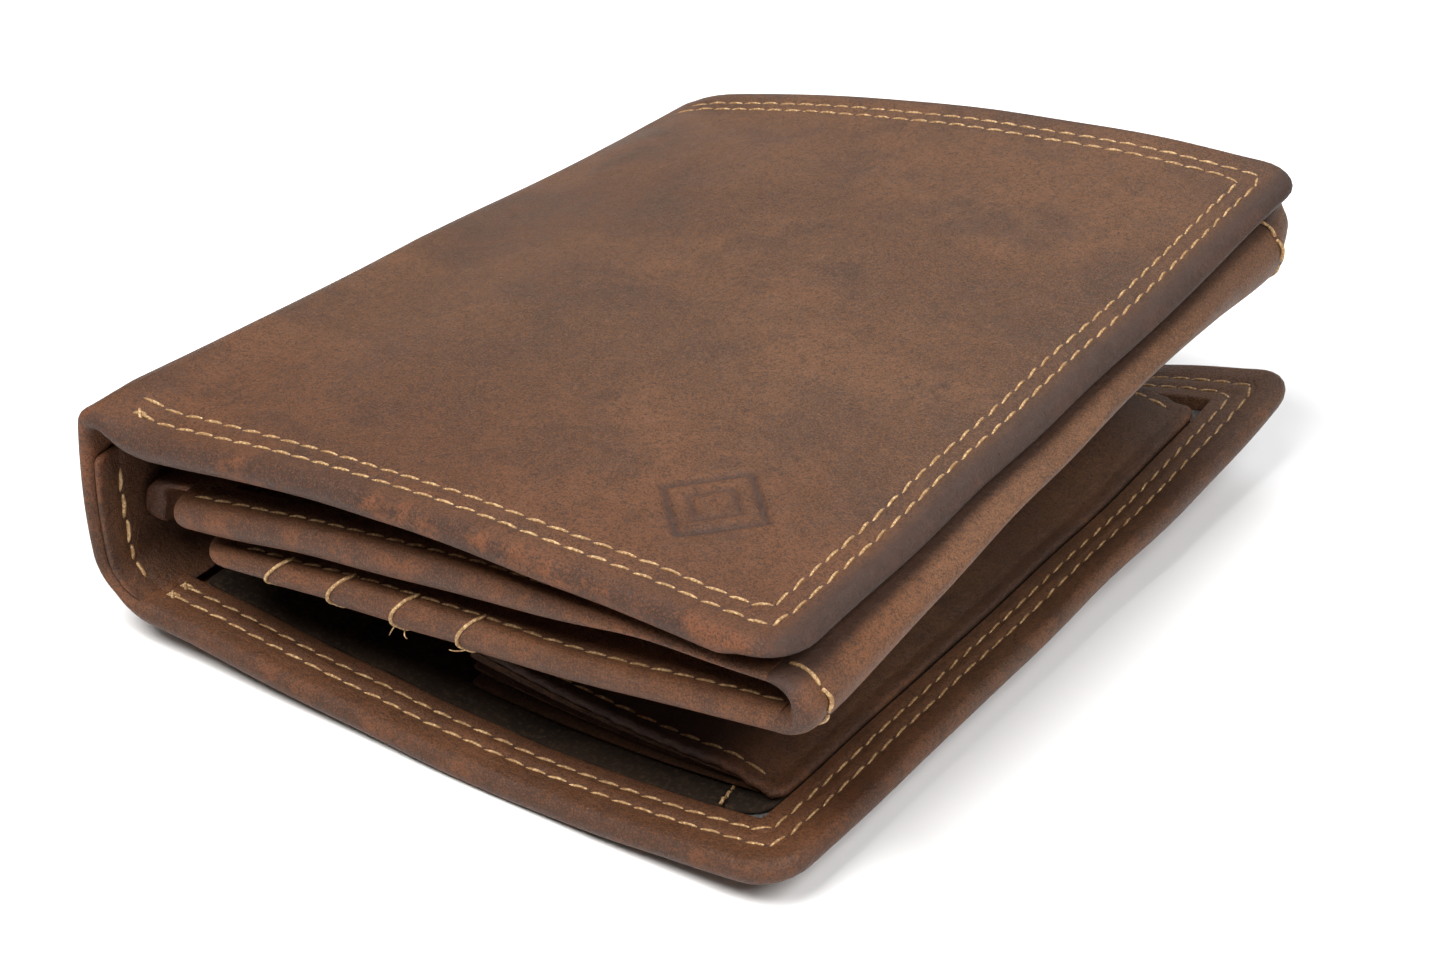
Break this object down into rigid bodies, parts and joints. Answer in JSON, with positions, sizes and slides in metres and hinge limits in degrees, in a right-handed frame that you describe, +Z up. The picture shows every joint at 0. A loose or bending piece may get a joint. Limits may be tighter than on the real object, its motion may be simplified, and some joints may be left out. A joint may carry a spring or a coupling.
{
  "type": "trifold wallet",
  "caption": "Upright trifold wallet in oiled leather: two sewn covers on a soft spine, a folded card leaf between them, and a coin pocket with snap flap.",
  "frame": {"origin": "on the resting plane, under the middle of the closed wallet's box", "axes": "+X from the spine to the open edge, +Y along the spine, +Z up from the back cover to the front cover"},
  "size_m": [0.1024, 0.12, 0.039],
  "materials": {
    "cover_leather": "oiled, matt, mottled",
    "inner_leather": "oiled, matt",
    "page_leather": "oiled, matt",
    "suede_panel": "suede nap",
    "pocket_lining": "matt",
    "thread": "waxed thread",
    "snap_metal": "aged satin"
  },
  "bodies": {
    "back_cover": {"back_cover_leather": "cover_leather", "back_pocket_lining": "pocket_lining", "back_inner_panel": "suede_panel", "back_cover_outer_seam": "thread", "back_cover_inner_seam": "thread", "coin_gusset_front": "inner_leather", "coin_gusset_rear": "inner_leather"},
    "spine": {"spine_leather": "cover_leather", "spine_inner_strip": "inner_leather", "page_hinge_strip": "page_leather", "spine_front_seam": "thread", "spine_rear_seam": "thread"},
    "front_cover": {"front_cover_leather": "cover_leather", "front_pocket_lining": "pocket_lining", "front_inner_panel": "inner_leather", "front_cover_outer_seam": "thread", "front_cover_inner_seam": "thread"},
    "page": {"page_leather": "page_leather", "page_card_pocket_1": "page_leather", "page_card_pocket_2": "page_leather", "page_card_pocket_3": "page_leather", "page_front_seam": "thread", "page_rear_seam": "thread", "page_fold": "page_leather"},
    "wing": {"wing_leather": "page_leather", "wing_card_pocket_1": "page_leather", "wing_card_pocket_2": "page_leather", "wing_card_pocket_3": "page_leather", "wing_card_pocket_4": "page_leather", "wing_front_seam": "thread", "wing_rear_seam": "thread"},
    "coin_panel": {"coin_pocket_panel": "inner_leather", "snap_stud": "snap_metal"},
    "coin_flap": {"coin_flap": "inner_leather", "snap_cap": "snap_metal", "snap_socket": "snap_metal"}
  },
  "joints": [
    {"name": "spine_fold", "type": "hinge", "parent": "back_cover", "child": "spine", "pos_m": [-0.05118, 0, 0], "axis": [0, -1, 0], "range_deg": [0, 90]},
    {"name": "cover_open", "type": "hinge", "parent": "spine", "child": "front_cover", "pos_m": [-0.05118, 0, 0.0295], "axis": [0, -1, 0], "range_deg": [0, 90]},
    {"name": "page_turn", "type": "hinge", "parent": "spine", "child": "page", "pos_m": [-0.04618, 0, 0.02], "axis": [0, -1, 0], "range_deg": [0, 80]},
    {"name": "wing_unfold", "type": "hinge", "parent": "page", "child": "wing", "pos_m": [0.04628, 0, 0.02909], "axis": [0, -1, 0], "range_deg": [0, 30]},
    {"name": "coin_flap_open", "type": "hinge", "parent": "back_cover", "child": "coin_flap", "pos_m": [-0.01058, 0, 0.0042], "axis": [0, -1, 0], "range_deg": [0, 60]},
    {"name": "coin_pocket_open", "type": "hinge", "parent": "back_cover", "child": "coin_panel", "pos_m": [0.03882, 0, 0.005], "axis": [0, 1, 0], "range_deg": [0, 10]}
  ],
  "couplings": [
    {"joint": "page_turn", "follows": "cover_open", "ratio": 0.86},
    {"joint": "wing_unfold", "follows": "cover_open", "ratio": 0.3},
    {"joint": "coin_flap_open", "follows": "cover_open", "ratio": 0.6},
    {"joint": "coin_pocket_open", "follows": "cover_open", "ratio": 0.1}
  ]
}
